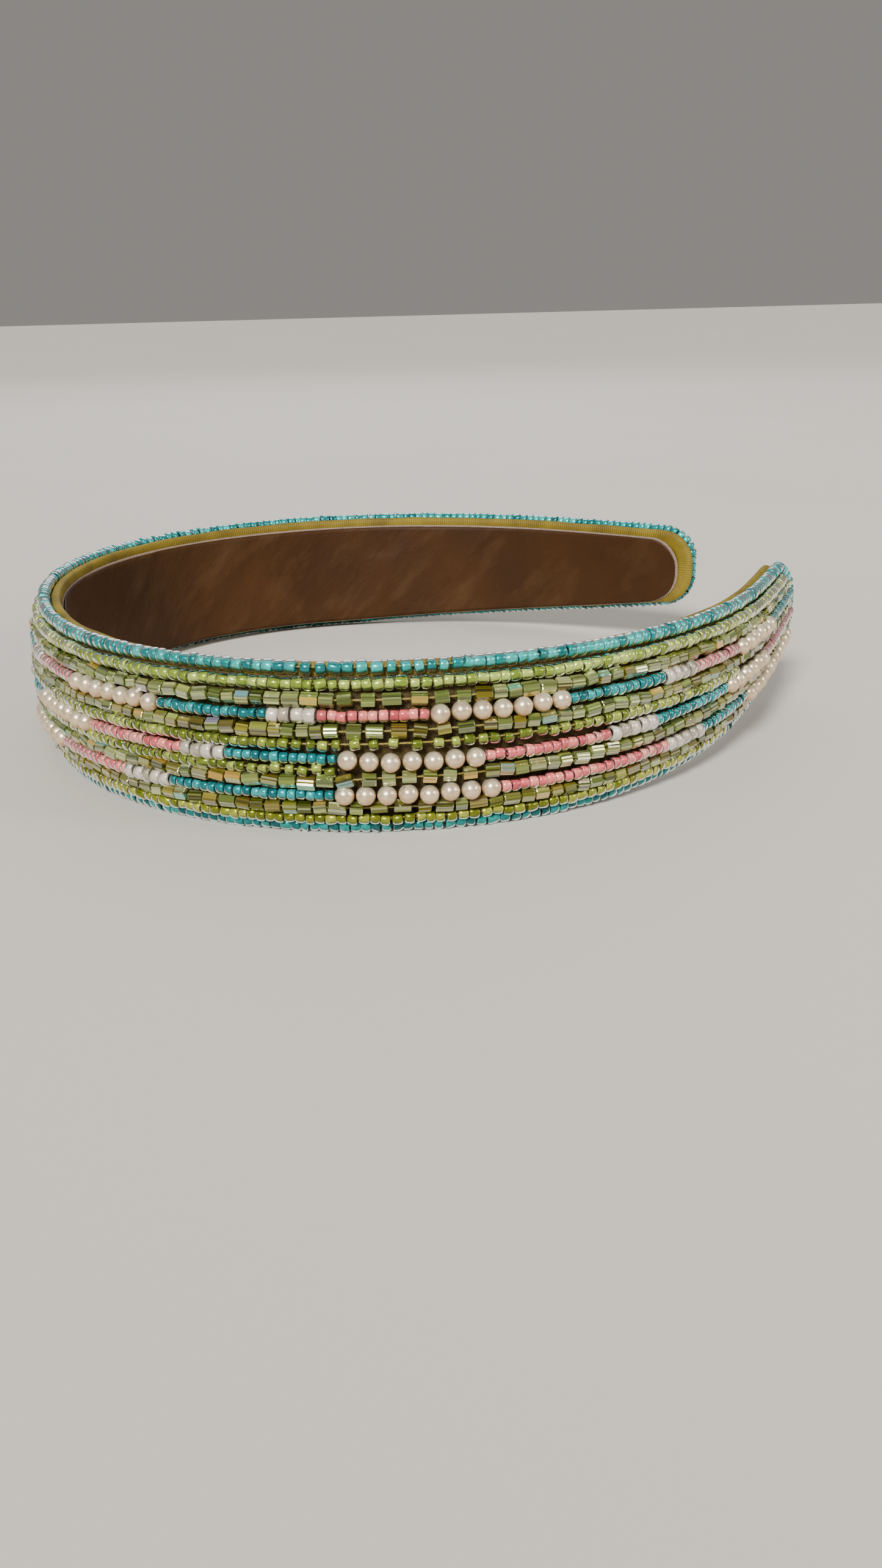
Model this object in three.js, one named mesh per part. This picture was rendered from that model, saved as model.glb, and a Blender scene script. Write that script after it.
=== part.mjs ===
// A padded bead-covered headband: a springy strip bent into an open C, covered in cloth,
// lined with leather and sewn all over its outer face with horizontal rows of glass beads.
// Millimetres. +Z runs up the band's width and +X runs from the crown towards the two tips.
// The padded band is the same on both sides of the XZ plane. It stands on its lowest row of
// beads at Z = 0.
import * as THREE from 'three';

// ---- driving dimensions ----
const bandWidth = 26.1; // height at the crown, edge beads included
const armLength = 194.5; // arc from the crown to each tip
const tipRise = 8.3; // how far the lower edge has risen at the tips
const flatArc = 106; // arc from the crown over which the lower edge is level
const risePower = 1.6;
const bendStep = 31.2; // arc between the places where the bend is stated
const bendRadii = [103, 64, 56, 62, 70, 89]; // bend radius at each of those places
const straightArc = 182; // beyond this arc the tips are straight
const stationCount = 37; // straight facets along the whole band, one of them across the crown

const domeHeight = 2.4; // how far the padded middle stands above the edges
const domePower = 2.6;
const beadBase = 0.5; // height of a bead's centre above the middle surface at the edges
const clothDrop = 1.3; // from a bead's centre down to the cloth it is sewn to
const topInset = 0.8; // from the top beads' outer side to the cloth's edge
const bottomInset = 1.2; // and from the bottom beads' outer side
const tipCorner = 7; // corner radius of the rounded tips
const clothThickness = 0.35;

const coreInner = -1.75;
const coreOuter = -0.95;
const foamInner = -0.75;
const liningBaseInner = -2.6;
const liningBaseOuter = -2.4;
const leatherInner = -3.0;
const leatherOuter = -2.65;

// how far each layer stays inside the cloth's edge, and its corner radius at the tips
const backingInset = { top: 1.8, bottom: 1.8, tip: 1.8, corner: 5.2 };
const foamInset = { top: 2.2, bottom: 2.2, tip: 2.2, corner: 4.8 };
const coreInset = { top: 2.6, bottom: 2.6, tip: 2.6, corner: 4.4 };
const liningBaseInset = { top: 1.6, bottom: 0.3, tip: 2.9, corner: 6.6 };
const leatherInset = { top: 1.9, bottom: 0.45, tip: 3.5, corner: 6.2 };

// ---- beads ----
const pearlPitch = 2.92;
const seedPitch = { teal: 1.34, white: 1.77, pink: 1.39 };
const edgeRowHeight = 1.05; // centre of an edge row, from the very edge
const edgeRowSink = 0.45; // edge rows lean back over the cloth's shoulder
const seedRadius = 0.72;
const fineSeedRadius = 0.6;
const hexRadius = 0.68;
const pearlRadius = 1.0;
const pearlWaist = 0.5;
const pearlLift = 0.4;
const bindingLip = 3.4; // how far the edge binding reaches over the inner face
const tipRowInset = 2.0; // from the cloth's end to the centre of the beads round the tip
const rowTurn = 5.8; // radius of the edge row's turn round each tip's corners
const rowSpacing = 1.55; // the other rows stop this far from the row round the tip
const runGap = 0.2; // between one run of beads and the next

// ---- colours ----
const finishes = {
  core_plastic: [0xd8d2c4, 0.5],
  foam: [0xe6dfc8, 0.95],
  backing_cloth: [0x4a4320, 0.9],
  edge_satin: [0x9a8c22, 0.55],
  lining_base: [0xb7a294, 0.9],
  lining_leather: [0x4a2410, 0.6],
  teal_glass: [0x2fb5b2, 0.2],
  lime_glass: [0xb5c766, 0.2],
  hex_glass: [0x9fae74, 0.2],
  green_glass: [0x8f9c3e, 0.25],
  gold_green_glass: [0x7f8a2f, 0.25],
  deep_teal_glass: [0x1f7d80, 0.2],
  pearl: [0xe9dfc9, 0.25],
  stripe_seeds: [0xc97f86, 0.25],
};

// ---- the band's bend ----
// The band is a chain of straight facets, so that every layer meets the next exactly.
const smooth = (from, to, value) => {
  const t = Math.min(1, Math.max(0, (value - from) / (to - from)));
  return t * t * (3 - 2 * t);
};

function bendAt(arc) {
  const last = bendRadii.length - 1;
  const place = arc / bendStep;
  const i = Math.floor(place);
  if (i < last) return (1 - place + i) / bendRadii[i] + (place - i) / bendRadii[i + 1];
  const past = (arc - last * bendStep) / (straightArc - last * bendStep);
  return Math.max(0, 1 - past) / bendRadii[last];
}

function bentArm() {
  const step = 0.05;
  const points = [{ x: 0, y: 0, turn: 0 }];
  for (let arc = step / 2; arc < armLength; arc += step) {
    const before = points[points.length - 1];
    const turn = before.turn + bendAt(arc) * step;
    const mid = (before.turn + turn) / 2;
    points.push({ x: before.x + Math.sin(mid) * step, y: before.y + Math.cos(mid) * step, turn });
  }
  return (arc) => points[Math.min(points.length - 1, Math.round(arc / step))];
}

const arm = bentArm();
const stationArcs = [];
for (let i = 0; i <= stationCount; i += 1) {
  stationArcs.push(armLength * ((2 * i) / stationCount - 1));
}
// Arc is positive along the arm on the -Y side and negative along the arm on the +Y side.
const stations = stationArcs.map((arc) => {
  const side = arc < 0 ? 1 : -1;
  const { x, y, turn } = arm(Math.abs(arc));
  return { x, y: side * y, nx: -Math.cos(turn), ny: side * Math.sin(turn) };
});

// The point at an arc along the band, a height, and a distance out from the middle surface.
function bandPoint(arc, out, z) {
  const place = ((arc / armLength + 1) * stationCount) / 2;
  const i = Math.min(stationCount - 1, Math.max(0, Math.floor(place)));
  const t = place - i;
  const [a, b] = [stations[i], stations[i + 1]];
  return [
    (a.x + a.nx * out) * (1 - t) + (b.x + b.nx * out) * t,
    (a.y + a.ny * out) * (1 - t) + (b.y + b.ny * out) * t,
    z,
  ];
}

// The lower edge is level under the crown, rises, and is level again under the rounded tips.
function lowerEdge(arc) {
  const risen = (Math.abs(arc) - flatArc) / (armLength - tipCorner - flatArc);
  return tipRise * Math.min(1, Math.max(0, risen)) ** risePower;
}

function beadHeight(arc, z) {
  const low = lowerEdge(arc);
  const half = (bandWidth - low) / 2;
  const across = Math.min(1, Math.abs(z - low - half) / half);
  return beadBase + domeHeight * (1 - across ** domePower);
}

// ---- solids ----
// A closed solid lofted through rings of equal point count; closed joins the last ring to the first.
function loft(rings, closed = false) {
  const sides = rings[0].length;
  const positions = rings.flat(2);
  const triangles = [];
  const ringSteps = closed ? rings.length : rings.length - 1;
  for (let r = 0; r < ringSteps; r += 1) {
    const next = (r + 1) % rings.length;
    for (let k = 0; k < sides; k += 1) {
      const k2 = (k + 1) % sides;
      const [a, b, c, d] = [r * sides + k, r * sides + k2, next * sides + k2, next * sides + k];
      triangles.push(a, b, c, a, c, d);
    }
  }
  if (!closed) {
    const last = (rings.length - 1) * sides;
    for (const [a, b, c] of capTriangles(rings[0])) triangles.push(a, c, b);
    for (const [a, b, c] of capTriangles(rings[rings.length - 1])) {
      triangles.push(last + a, last + b, last + c);
    }
  }
  return outward(positions, triangles);
}

// The triangles that close an end ring, each turning the same way as the ring.
function capTriangles(ring) {
  const origin = new THREE.Vector3(...ring[0]);
  const away = (p) => Math.hypot(p[0] - origin.x, p[1] - origin.y);
  const far = ring.reduce((best, p) => (away(p) > away(best) ? p : best));
  const along = new THREE.Vector3(far[0] - origin.x, far[1] - origin.y, 0).normalize();
  const flat = ring.map((p) => {
    const v = new THREE.Vector3(...p).sub(origin);
    return new THREE.Vector2(v.dot(along), v.z);
  });
  const ringTurn = Math.sign(THREE.ShapeUtils.area(flat));
  return THREE.ShapeUtils.triangulateShape(flat, []).map(([a, b, c]) => {
    const turn = Math.sign(THREE.ShapeUtils.area([flat[a], flat[b], flat[c]]));
    return turn === ringTurn ? [a, b, c] : [a, c, b];
  });
}

// Turns every triangle over if the solid came out inside out.
function outward(positions, triangles) {
  let volume = 0;
  const corner = (i) => new THREE.Vector3(...positions.slice(3 * i, 3 * i + 3));
  for (let t = 0; t < triangles.length; t += 3) {
    const [a, b, c] = triangles.slice(t, t + 3).map(corner);
    volume += a.dot(b.cross(c));
  }
  if (volume < 0) {
    for (let t = 0; t < triangles.length; t += 3) {
      [triangles[t], triangles[t + 1]] = [triangles[t + 1], triangles[t]];
    }
  }
  const geometry = new THREE.BufferGeometry();
  geometry.setAttribute('position', new THREE.Float32BufferAttribute(positions, 3));
  geometry.setIndex(triangles);
  return geometry;
}

// The arcs of the facet joints between two arcs, with the two ends.
function arcsBetween(from, to) {
  const inside = stationArcs.filter((arc) => arc > from + 0.3 && arc < to - 0.3);
  return [from, ...inside, to];
}

// A layer of the band: everything between two faces, kept inside the cloth's edge by its insets.
function layer(inset, innerFace, outerFace, columns) {
  const end = armLength - inset.tip;
  const { corner } = inset;
  const cornerArcs = [0, 0.1, 0.35, 0.7, 1].map((t) => end - corner * t);
  const middle = arcsBetween(-end + corner, end - corner);
  const arcs = [
    ...cornerArcs.map((arc) => -arc),
    ...middle.slice(1, -1),
    ...cornerArcs.reverse(),
  ];
  const rings = arcs.map((arc) => {
    const intoCorner = Math.max(0, corner - (end - Math.abs(arc)));
    const rounding = corner - Math.sqrt(corner ** 2 - intoCorner ** 2);
    const low = lowerEdge(arc) + bottomInset + inset.bottom + rounding;
    const high = bandWidth - topInset - inset.top - rounding;
    const heights = [];
    for (let k = 0; k <= columns; k += 1) heights.push(low + ((high - low) * k) / columns);
    const back = innerFace.domed ? [...heights].reverse() : [high, low];
    return [
      ...heights.map((z) => bandPoint(arc, outerFace(arc, z), z)),
      ...back.map((z) => bandPoint(arc, innerFace(arc, z), z)),
    ];
  });
  return loft(rings);
}

const flatFace = (out) => () => out;
const domedFace = (drop) => Object.assign((arc, z) => beadHeight(arc, z) - drop, { domed: true });

// The binding runs right round the band's edge and folds onto both faces. Each pair is how far
// in from the edge, and how far out from the middle surface.
const bindingSection = [
  [bindingLip, -2.35], [0.3, -2.3], [0, -1.5], [0.4, -0.85], [1.5, -0.12],
  [1.5, -0.5], [0.75, -1.1], [0.42, -1.5], [0.6, -1.95], [bindingLip, -2.05],
];

function bindingRing() {
  const straightEnd = armLength - tipCorner;
  const edge = []; // arc, height, and the direction pointing in from the edge
  const lowerArcs = arcsBetween(-straightEnd, straightEnd);
  for (const arc of lowerArcs) edge.push([arc, lowerEdge(arc) + bottomInset, 0, 1]);
  const cornerSteps = 4;
  const turnCorner = (arc, z, startAngle) => {
    for (let i = 1; i < cornerSteps; i += 1) {
      const angle = startAngle + (Math.PI / 2) * (i / cornerSteps);
      const [c, s] = [Math.cos(angle), Math.sin(angle)];
      edge.push([arc + tipCorner * c, z + tipCorner * s, -c, -s]);
    }
  };
  const tipLow = lowerEdge(armLength) + bottomInset + tipCorner;
  const tipHigh = bandWidth - topInset - tipCorner;
  turnCorner(straightEnd, tipLow, -Math.PI / 2);
  edge.push([armLength, tipLow, -1, 0], [armLength, tipHigh, -1, 0]);
  turnCorner(straightEnd, tipHigh, 0);
  for (const arc of [...lowerArcs].reverse()) edge.push([arc, bandWidth - topInset, 0, -1]);
  turnCorner(-straightEnd, tipHigh, Math.PI / 2);
  edge.push([-armLength, tipHigh, 1, 0], [-armLength, tipLow, 1, 0]);
  turnCorner(-straightEnd, tipLow, Math.PI);
  const rings = edge.map(([arc, z, inArc, inZ]) =>
    bindingSection.map(([w, out]) => bandPoint(arc + inArc * w, out, z + inZ * w)));
  return loft(rings, true);
}

// ---- rows ----
// Each row's place is its share of the way down from the top row to the bottom row: on the
// crown side, on the front side past the short row's end, and at the tips.
const rowPlaces = {
  top_teal_row: [0, 0, 0],
  lime_row: [0.088, 0.088, 0.11],
  upper_hex_row: [0.18, 0.18, 0.21],
  upper_stripe: [0.27, 0.27, 0.325],
  second_hex_row: [0.366, 0.366, 0.44],
  green_row: [0.444, 0.444, 0.5],
  middle_stripe: [0.53, 0.556, 0.555],
  short_green_row: [0.605, 0.605, 0.61],
  third_hex_row: [0.685, 0.659, 0.665],
  lower_stripe: [0.77, 0.77, 0.775],
  lower_hex_row: [0.858, 0.858, 0.885],
  gold_green_row: [0.935, 0.935, 0.94],
  bottom_teal_row: [1, 1, 1],
};
const shortRowEnd = 78;
const convergeArc = 105; // the rows start to draw together past this arc

function rowPoint(row, arc) {
  const [crown, front, tip] = rowPlaces[row];
  const body = crown + (front - crown) * smooth(shortRowEnd - 4, shortRowEnd + 8, arc);
  const share = body + (tip - body) * smooth(convergeArc, armLength, Math.abs(arc));
  const low = lowerEdge(arc) + edgeRowHeight;
  const high = bandWidth - edgeRowHeight;
  const z = high + (low - high) * share;
  const sink = share === 0 || share === 1 ? edgeRowSink : 0;
  return { z, out: beadHeight(arc, z) - sink };
}

// Where a row stops, clear of the beads that turn round the tip.
function rowEnd(row) {
  const { z } = rowPoint(row, armLength);
  const high = bandWidth - edgeRowHeight;
  const low = lowerEdge(armLength) + edgeRowHeight;
  const intoTurn = Math.max(0, rowTurn - Math.min(high - z, z - low));
  const clear = rowTurn - rowSpacing;
  return armLength - tipRowInset - rowTurn + Math.sqrt(Math.max(0, clear ** 2 - intoTurn ** 2));
}

// A strand of beads as a six-sided rod through points of { arc, z, out, radius, tall }.
function rod(points) {
  const rings = points.map(({ arc, z, out, radius, tall }) => {
    const ring = [];
    for (let k = 0; k < 6; k += 1) {
      const angle = (k * Math.PI) / 3;
      ring.push(bandPoint(arc, out + radius * Math.cos(angle), z + radius * tall * Math.sin(angle)));
    }
    return ring;
  });
  return loft(rings);
}

function plainRow(row, radius, from, to, tall = 1) {
  return rod(arcsBetween(from, to).map((arc) => ({ arc, radius, tall, ...rowPoint(row, arc) })));
}

// The beads round one tip: down from the top row's end, along the tip and under to the bottom
// row's end. The rod's sections lie across its own path.
function tipRow(side) {
  const centreArc = armLength - tipRowInset - rowTurn;
  const high = bandWidth - edgeRowHeight - rowTurn;
  const low = lowerEdge(armLength) + edgeRowHeight + rowTurn;
  const turnSteps = 5;
  const path = [];
  for (let i = 0; i <= turnSteps; i += 1) path.push([high, (Math.PI / 2) * (1 - i / turnSteps)]);
  for (let i = 0; i <= turnSteps; i += 1) path.push([low, (-Math.PI / 2) * (i / turnSteps)]);
  const rings = path.map(([z, angle]) => {
    const [c, s] = [Math.cos(angle), Math.sin(angle)];
    const start = Math.abs(angle) === Math.PI / 2 ? runGap : 0;
    const centre = { arc: centreArc + start + rowTurn * c, z: z + rowTurn * s };
    const out = beadHeight(centre.arc, centre.z) - edgeRowSink;
    const ring = [];
    for (let k = 0; k < 6; k += 1) {
      const around = (k * Math.PI) / 3;
      const across = seedRadius * Math.sin(around);
      const arc = side * (centre.arc + across * c);
      ring.push(bandPoint(arc, out + seedRadius * Math.cos(around), centre.z + across * s));
    }
    return ring;
  });
  return loft(rings);
}

function pearlRun(row, from, count) {
  const points = [];
  const add = (arc, radius) => {
    const { z, out } = rowPoint(row, arc);
    points.push({ arc, z, out: out + pearlLift, radius, tall: 1 });
  };
  add(from + runGap / 2, pearlWaist);
  for (let i = 0; i < count; i += 1) {
    add(from + (i + 0.5) * pearlPitch, pearlRadius);
    add(from + (i + 1) * pearlPitch - (i === count - 1 ? runGap / 2 : 0), pearlWaist);
  }
  return rod(points);
}

// Each stripe repeats pearls and three colours of small seed beads. The counts run towards the
// tip of the -Y arm from where the first run of pearls starts; the +Y arm repeats the last list.
const stripes = {
  upper_stripe: {
    start: 31.3,
    front: [['pearl', 7], ['teal', 13], ['white', 4], ['pink', 11], ['pearl', 7], ['teal', 13],
      ['white', 4], ['pink', 10], ['pearl', 6], ['teal', 22]],
    cycle: [['pearl', 7], ['teal', 13], ['white', 4], ['pink', 11]],
  },
  middle_stripe: {
    start: 15.7,
    front: [['pearl', 7], ['pink', 14], ['white', 4], ['teal', 12], ['pearl', 7], ['pink', 14],
      ['white', 5], ['teal', 14], ['pearl', 6], ['pink', 20]],
    cycle: [['pearl', 7], ['pink', 14], ['white', 4], ['teal', 12]],
  },
  lower_stripe: {
    start: 3.9,
    front: [['pearl', 7], ['pink', 14], ['white', 5], ['teal', 19], ['pearl', 8], ['pink', 21],
      ['white', 5], ['teal', 12], ['pearl', 12]],
    cycle: [['pearl', 7], ['pink', 14], ['white', 5], ['teal', 19]],
  },
};
const pitchOf = (kind) => (kind === 'pearl' ? pearlPitch : seedPitch[kind]);

// The runs of one stripe as { pearls, from, to, count }, neighbouring seed colours joined.
function stripeRuns(row) {
  const { start, front, cycle } = stripes[row];
  const tipEnd = rowEnd(row);
  const runs = [];
  const add = (kind, from, to, count) => {
    const pearls = kind === 'pearl';
    const last = runs[runs.length - 1];
    if (last && !pearls && !last.pearls) last.to = to;
    else runs.push({ pearls, from, to, count });
  };
  const backward = [];
  for (let arc = start, i = cycle.length - 1; arc > -tipEnd; i = (i || cycle.length) - 1) {
    const [kind, count] = cycle[i];
    const beads = Math.min(count, Math.floor((arc + tipEnd) / pitchOf(kind)));
    if (beads < 2) break;
    backward.unshift([kind, arc - beads * pitchOf(kind), arc, beads]);
    arc -= beads * pitchOf(kind);
    if (beads < count) break;
  }
  for (const [kind, from, to, count] of backward) add(kind, from, to, count);
  let arc = start;
  for (const [kind, count] of front) {
    const beads = Math.min(count, Math.floor((tipEnd - arc) / pitchOf(kind)));
    if (beads > 0) add(kind, arc, arc + beads * pitchOf(kind), beads);
    arc += Math.max(0, beads) * pitchOf(kind);
  }
  return runs;
}

// ---- assembly ----
const group = new THREE.Group();

function addPart(name, finish, geometry) {
  const [color, roughness] = finishes[finish];
  const material = new THREE.MeshStandardMaterial({ color, roughness, metalness: 0 });
  const mesh = new THREE.Mesh(geometry, material);
  mesh.name = name;
  group.add(mesh);
}

addPart('spring_core', 'core_plastic', layer(coreInset, flatFace(coreInner), flatFace(coreOuter), 1));
addPart('foam_padding', 'foam', layer(foamInset, flatFace(foamInner), domedFace(clothDrop + 0.55), 5));
addPart('backing_cloth', 'backing_cloth',
  layer(backingInset, domedFace(clothDrop + clothThickness), domedFace(clothDrop), 5));
addPart('edge_binding', 'edge_satin', bindingRing());
addPart('lining_base', 'lining_base',
  layer(liningBaseInset, flatFace(liningBaseInner), flatFace(liningBaseOuter), 1));
addPart('leather_lining', 'lining_leather',
  layer(leatherInset, flatFace(leatherInner), flatFace(leatherOuter), 1));

const fullHeight = edgeRowHeight / seedRadius / Math.sin(Math.PI / 3); // edge rows reach the edge
const edgeEnd = armLength - tipRowInset - rowTurn;
const fullRow = (row, radius) => plainRow(row, radius, -rowEnd(row), rowEnd(row));
const greenEnd = 150;
const shortRowStart = -110;
const goldEnd = 150;
addPart('top_teal_row', 'teal_glass',
  plainRow('top_teal_row', seedRadius, -edgeEnd, edgeEnd, fullHeight));
addPart('front_tip_teal_row', 'teal_glass', tipRow(1));
addPart('rear_tip_teal_row', 'teal_glass', tipRow(-1));
addPart('lime_row', 'lime_glass', fullRow('lime_row', seedRadius));
for (const row of ['upper_hex_row', 'second_hex_row', 'third_hex_row', 'lower_hex_row']) {
  addPart(row, 'hex_glass', fullRow(row, hexRadius));
}
addPart('green_row', 'green_glass', plainRow('green_row', fineSeedRadius, -greenEnd, greenEnd));
addPart('short_green_row', 'green_glass',
  plainRow('short_green_row', fineSeedRadius, shortRowStart, shortRowEnd));
addPart('gold_green_row', 'gold_green_glass',
  plainRow('gold_green_row', fineSeedRadius, -goldEnd, goldEnd));
addPart('bottom_teal_row', 'deep_teal_glass',
  plainRow('bottom_teal_row', seedRadius, -edgeEnd, edgeEnd, fullHeight));

for (const row of Object.keys(stripes)) {
  const made = { pearls: 0, seeds: 0 };
  for (const { pearls, from, to, count } of stripeRuns(row)) {
    const kind = pearls ? 'pearls' : 'seeds';
    made[kind] += 1;
    const geometry = pearls
      ? pearlRun(row, from, count)
      : plainRow(row, seedRadius, from + runGap / 2, to - runGap / 2);
    addPart(`${row}_${kind}_${made[kind]}`, pearls ? 'pearl' : 'stripe_seeds', geometry);
  }
}

// The origin is at the middle of the base of the whole headband.
const box = new THREE.Box3().setFromObject(group);
group.position.x = -(box.min.x + box.max.x) / 2;
group.position.y = -(box.min.y + box.max.y) / 2;

export default group;
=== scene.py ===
"""A padded headband sewn all over with rows of glass beads and pearls, standing on its lower edge.

Sizes are millimetres in the band's own terms: arc runs along the band from the crown (positive
along the arm at -Y), z runs up its width, and out is the distance outwards from the band's middle
surface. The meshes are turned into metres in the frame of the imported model.
"""
import itertools
import math

import bmesh
import bpy
import numpy as np
from mathutils import Matrix, Vector


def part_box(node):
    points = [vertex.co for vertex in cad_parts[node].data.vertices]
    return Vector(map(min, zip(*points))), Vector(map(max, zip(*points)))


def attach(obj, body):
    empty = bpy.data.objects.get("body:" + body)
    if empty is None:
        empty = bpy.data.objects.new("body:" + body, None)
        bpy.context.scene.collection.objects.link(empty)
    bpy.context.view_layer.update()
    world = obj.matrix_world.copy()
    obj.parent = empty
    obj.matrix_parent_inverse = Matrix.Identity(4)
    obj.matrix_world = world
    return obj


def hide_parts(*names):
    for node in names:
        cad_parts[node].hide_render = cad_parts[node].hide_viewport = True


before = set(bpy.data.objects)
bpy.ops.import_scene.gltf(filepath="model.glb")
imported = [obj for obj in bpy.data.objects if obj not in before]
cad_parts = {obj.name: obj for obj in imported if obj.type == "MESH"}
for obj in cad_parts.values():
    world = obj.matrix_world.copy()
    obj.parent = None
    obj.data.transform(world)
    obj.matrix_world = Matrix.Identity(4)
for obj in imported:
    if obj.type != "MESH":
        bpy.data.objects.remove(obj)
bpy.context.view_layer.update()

MM = 0.001
SEED = 11

# ---- the band ----
BAND_WIDTH = 26.1
ARM_LENGTH = 194.5
TIP_RISE = 8.3
FLAT_ARC = 106.0
RISE_POWER = 1.6
TIP_CORNER = 7.0
BEND_STEP = 31.2
BEND_RADII = (103.0, 64.0, 56.0, 62.0, 70.0, 89.0)
STRAIGHT_ARC = 182.0
DOME_HEIGHT = 2.4
DOME_POWER = 2.6
BEAD_BASE = 0.5
TOP_INSET = 0.8
BOTTOM_INSET = 1.2
LEATHER_OUTER = -2.65  # the CAD's leather, which shows where the crown is
CROWN_FACET = 0.14  # the CAD's flat facet at the crown lies this far inside the true bend

# ---- the bead rows ----
EDGE_ROW_HEIGHT = 1.05
EDGE_ROW_SINK = 0.45
CLOTH_DROP = 1.12  # from a bead's centre to the cloth
SHORT_ROW_END = 78.0
CONVERGE_ARC = 105.0
TIP_ROW_INSET = 2.0  # from the cloth's end to the centre of the beads round the tip
ROW_TURN = 5.8  # radius of the edge row's turn round each tip's corners
ROW_SPACING = 1.75
# Each row's share of the way down: on the crown side, on the front side, and at the tips.
ROW_PLACES = {
    "top_teal_row": (0.0, 0.0, 0.0),
    "lime_row": (0.088, 0.088, 0.11),
    "upper_hex_row": (0.18, 0.18, 0.21),
    "upper_stripe": (0.27, 0.27, 0.325),
    "second_hex_row": (0.366, 0.366, 0.44),
    "green_row": (0.444, 0.444, 0.5),
    "middle_stripe": (0.53, 0.556, 0.555),
    "short_green_row": (0.605, 0.605, 0.61),
    "third_hex_row": (0.685, 0.659, 0.665),
    "lower_stripe": (0.77, 0.77, 0.775),
    "lower_hex_row": (0.858, 0.858, 0.885),
    "gold_green_row": (0.935, 0.935, 0.94),
    "bottom_teal_row": (1.0, 1.0, 1.0),
}
# Each kind of bead in the stripes: its pitch along the thread and its radius.
BEAD_PITCH = {"pearl": 2.92, "teal": 1.34, "white": 1.77, "pink": 1.39}
BEAD_RADIUS = {"pearl": 1.455, "teal": 0.96, "white": 1.3, "pink": 1.03}
PEARL_LIFT = 0.34
# The stripes' runs as (kind, beads), from where each stripe's first run of pearls starts to the
# tip of the arm at -Y. The other arm repeats the cycle.
STRIPES = {
    "upper_stripe": {
        "start": 31.3,
        "front": [("pearl", 7), ("teal", 13), ("white", 4), ("pink", 11), ("pearl", 7),
                  ("teal", 13), ("white", 4), ("pink", 10), ("pearl", 6), ("teal", 22)],
        "cycle": [("pearl", 7), ("teal", 13), ("white", 4), ("pink", 11)],
    },
    "middle_stripe": {
        "start": 15.7,
        "front": [("pearl", 7), ("pink", 14), ("white", 4), ("teal", 12), ("pearl", 7),
                  ("pink", 14), ("white", 5), ("teal", 14), ("pearl", 6), ("pink", 20)],
        "cycle": [("pearl", 7), ("pink", 14), ("white", 4), ("teal", 12)],
    },
    "lower_stripe": {
        "start": 3.9,
        "front": [("pearl", 7), ("pink", 14), ("white", 5), ("teal", 19), ("pearl", 8),
                  ("pink", 21), ("white", 5), ("teal", 12), ("pearl", 12)],
        "cycle": [("pearl", 7), ("pink", 14), ("white", 5), ("teal", 19)],
    },
}

# The rows of seed beads: each bead's radius, its pitch and how much that varies, the share of its
# width that the lining fills near the front, how far beads tilt in radians, and the stretches
# that are strung loosely as (from, to, extra gap). A row without ends runs to both tips.
USUAL_ROW = {"pitch": 1.42, "spread": 0.14, "tilt": 0.12}
SEED_ROWS = {
    "top_teal": {"finish": "teal_glass", "radius": 1.13, "pitch": 1.5, "spread": 0.16,
                 "share": 0.75, "tilt": 0.1, "loose": [(71, 95, 0.32), (-90, -60, 0.12)]},
    "lime": {"finish": "lime_glass", "radius": 1.04, "pitch": 1.55, "spread": 0.16,
             "share": 0.77, "loose": [(74, 95, 0.1)]},
    "green": {"finish": "green_glass", "radius": 0.98, "share": 0.79, "ends": (-150, 150),
              "loose": [(70, 76, 0.3), (76, 92, 0.9), (92, 113, 0.45)]},
    "short_green": {"finish": "green_glass", "radius": 0.92, "share": 0.79,
                    "ends": (-110, SHORT_ROW_END), "loose": [(64, 78, 0.45)]},
    "gold_green": {"finish": "gold_green_glass", "radius": 0.98, "pitch": 1.5, "share": 0.82,
                   "ends": (-150, 150), "loose": [(84, 110, 0.12)]},
    "bottom_teal": {"finish": "deep_teal_glass", "radius": 1.0, "spread": 0.12, "share": 0.88,
                    "loose": [(86, 110, 0.1)]},
}
ROW_DRIFT = 0.1
WIDE_GAP = 0.35  # a gap this wide shows a stitch down to the cloth
ROLL = 6.28  # a bead turns at random about its thread by up to this much
TIP_BEADS = 15
TIP_BEAD_LENGTH = 1.42
TIP_BEAD_RADIUS = 1.08

# ---- single beads ----
SEED_SIDES = 14
SEED_HOLE = 0.3
SEED_RIM = 0.45  # how far out from the hole to the side a bead's flat end reaches
SEED_SQUARENESS = 2.4
LINING_SIDES = 12
LINING_LENGTH = 0.99
PEARL_RINGS = 15
PEARL_SIDES = 24
BEAD_IOR = 1.18  # low, because the linings are drawn as large as real glass makes them look
LOOSE_MIDDLE = 82.0  # the arc where the beads are strung most loosely
FULL_SHARE = 0.945  # how much of a bead's width its lining fills away from there
TIP_SHARE = 0.8
STRIPE_SHARES = {"pink": 0.86, "teal": 0.84, "white": 0.9}

# ---- glass ----
CLEAR_ROUGHNESS = 0.02
# Each clear glass's tint, and its roughness where it is milky.
CLEAR_GLASSES = {
    "clear_bead_glass": ((0.6, 0.92, 0.89),),
    "lime_bead_glass": ((0.66, 0.82, 0.36),),
    "green_bead_glass": ((0.58, 0.7, 0.24),),
    "deep_teal_bead_glass": ((0.25, 0.65, 0.63),),
    "milky_white_glass": ((0.9, 0.86, 0.78), 0.22),
    "pink_bead_glass": ((0.9, 0.45, 0.42),),
    "stripe_teal_glass": ((0.3, 0.74, 0.74),),
}
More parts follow.
